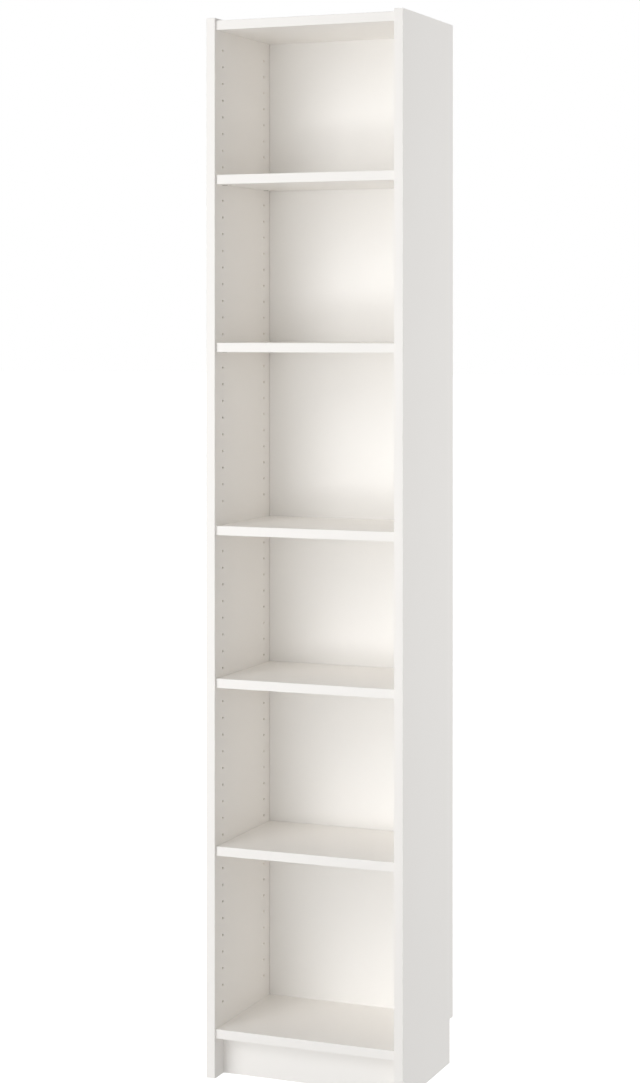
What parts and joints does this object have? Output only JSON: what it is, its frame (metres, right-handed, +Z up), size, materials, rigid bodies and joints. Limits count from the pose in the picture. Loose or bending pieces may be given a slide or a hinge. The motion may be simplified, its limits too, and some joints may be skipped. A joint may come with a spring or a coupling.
{
  "type": "bookcase with adjustable shelves",
  "caption": "Tall, narrow, open-fronted white bookcase: side panels, fixed top, middle and bottom boards, plinth, nailed back, and loose shelves resting on push-in pins in rows of holes.",
  "frame": {"origin": "on the floor, under the middle of the case's width and depth", "axes": "+X to the right as seen from the front, +Y to the rear (the wall), +Z up"},
  "size_m": [0.4, 0.28, 2.0355],
  "materials": {
    "white_foil_board": "chipboard wrapped in white foil, satin",
    "white_hardboard": "3 mm hardboard, white in front, bare brown behind",
    "bright_steel": "turned and plated",
    "plated_steel": "zinc plated",
    "cast_zinc": "die cast, dull",
    "beech": "bare, fluted dowel stock"
  },
  "bodies": {
    "case": {"side_panel_left": "white_foil_board", "side_panel_right": "white_foil_board", "top_panel": "white_foil_board", "fixed_shelf": "white_foil_board", "bottom_panel": "white_foil_board", "plinth": "white_foil_board", "back_panel": "white_hardboard", "top_panel_cam_bolts": "plated_steel", "top_panel_cam_locks": "cast_zinc", "top_panel_dowels": "beech", "fixed_shelf_cam_bolts": "plated_steel", "fixed_shelf_cam_locks": "cast_zinc", "fixed_shelf_dowels": "beech", "bottom_panel_cam_bolts": "plated_steel", "bottom_panel_cam_locks": "cast_zinc", "bottom_panel_dowels": "beech", "plinth_cam_bolts": "plated_steel", "plinth_cam_locks": "cast_zinc", "plinth_dowels": "beech", "back_nails": "plated_steel", "wall_bracket": "plated_steel", "bracket_screws": "plated_steel"},
    "shelf_1": {"adjustable_shelf_1": "white_foil_board"},
    "shelf_2": {"adjustable_shelf_2": "white_foil_board"},
    "shelf_3": {"adjustable_shelf_3": "white_foil_board"},
    "shelf_4": {"adjustable_shelf_4": "white_foil_board"},
    "pin_1_left_front": {"shelf_pin_1_left_front": "bright_steel"},
    "pin_1_left_rear": {"shelf_pin_1_left_rear": "bright_steel"},
    "pin_1_right_front": {"shelf_pin_1_right_front": "bright_steel"},
    "pin_1_right_rear": {"shelf_pin_1_right_rear": "bright_steel"},
    "pin_2_left_front": {"shelf_pin_2_left_front": "bright_steel"},
    "pin_2_left_rear": {"shelf_pin_2_left_rear": "bright_steel"},
    "pin_2_right_front": {"shelf_pin_2_right_front": "bright_steel"},
    "pin_2_right_rear": {"shelf_pin_2_right_rear": "bright_steel"},
    "pin_3_left_front": {"shelf_pin_3_left_front": "bright_steel"},
    "pin_3_left_rear": {"shelf_pin_3_left_rear": "bright_steel"},
    "pin_3_right_front": {"shelf_pin_3_right_front": "bright_steel"},
    "pin_3_right_rear": {"shelf_pin_3_right_rear": "bright_steel"},
    "pin_4_left_front": {"shelf_pin_4_left_front": "bright_steel"},
    "pin_4_left_rear": {"shelf_pin_4_left_rear": "bright_steel"},
    "pin_4_right_front": {"shelf_pin_4_right_front": "bright_steel"},
    "pin_4_right_rear": {"shelf_pin_4_right_rear": "bright_steel"}
  },
  "joints": [
    {"name": "shelf_1_lift", "type": "slide", "parent": "case", "child": "shelf_1", "axis": [0, 0, 1], "range_m": [0, 0.299]},
    {"name": "shelf_2_lift", "type": "slide", "parent": "case", "child": "shelf_2", "axis": [0, 0, 1], "range_m": [0, 0.2715]},
    {"name": "shelf_3_lift", "type": "slide", "parent": "case", "child": "shelf_3", "axis": [0, 0, 1], "range_m": [0, 0.299]},
    {"name": "shelf_4_lift", "type": "slide", "parent": "case", "child": "shelf_4", "axis": [0, 0, 1], "range_m": [0, 0.2745]},
    {"name": "pin_1_left_front_pull", "type": "slide", "parent": "case", "child": "pin_1_left_front", "axis": [1, 0, 0], "range_m": [0, 0.01]},
    {"name": "pin_1_left_rear_pull", "type": "slide", "parent": "case", "child": "pin_1_left_rear", "axis": [1, 0, 0], "range_m": [0, 0.01]},
    {"name": "pin_1_right_front_pull", "type": "slide", "parent": "case", "child": "pin_1_right_front", "axis": [-1, 0, 0], "range_m": [0, 0.01]},
    {"name": "pin_1_right_rear_pull", "type": "slide", "parent": "case", "child": "pin_1_right_rear", "axis": [-1, 0, 0], "range_m": [0, 0.01]},
    {"name": "pin_2_left_front_pull", "type": "slide", "parent": "case", "child": "pin_2_left_front", "axis": [1, 0, 0], "range_m": [0, 0.01]},
    {"name": "pin_2_left_rear_pull", "type": "slide", "parent": "case", "child": "pin_2_left_rear", "axis": [1, 0, 0], "range_m": [0, 0.01]},
    {"name": "pin_2_right_front_pull", "type": "slide", "parent": "case", "child": "pin_2_right_front", "axis": [-1, 0, 0], "range_m": [0, 0.01]},
    {"name": "pin_2_right_rear_pull", "type": "slide", "parent": "case", "child": "pin_2_right_rear", "axis": [-1, 0, 0], "range_m": [0, 0.01]},
    {"name": "pin_3_left_front_pull", "type": "slide", "parent": "case", "child": "pin_3_left_front", "axis": [1, 0, 0], "range_m": [0, 0.01]},
    {"name": "pin_3_left_rear_pull", "type": "slide", "parent": "case", "child": "pin_3_left_rear", "axis": [1, 0, 0], "range_m": [0, 0.01]},
    {"name": "pin_3_right_front_pull", "type": "slide", "parent": "case", "child": "pin_3_right_front", "axis": [-1, 0, 0], "range_m": [0, 0.01]},
    {"name": "pin_3_right_rear_pull", "type": "slide", "parent": "case", "child": "pin_3_right_rear", "axis": [-1, 0, 0], "range_m": [0, 0.01]},
    {"name": "pin_4_left_front_pull", "type": "slide", "parent": "case", "child": "pin_4_left_front", "axis": [1, 0, 0], "range_m": [0, 0.01]},
    {"name": "pin_4_left_rear_pull", "type": "slide", "parent": "case", "child": "pin_4_left_rear", "axis": [1, 0, 0], "range_m": [0, 0.01]},
    {"name": "pin_4_right_front_pull", "type": "slide", "parent": "case", "child": "pin_4_right_front", "axis": [-1, 0, 0], "range_m": [0, 0.01]},
    {"name": "pin_4_right_rear_pull", "type": "slide", "parent": "case", "child": "pin_4_right_rear", "axis": [-1, 0, 0], "range_m": [0, 0.01]}
  ]
}
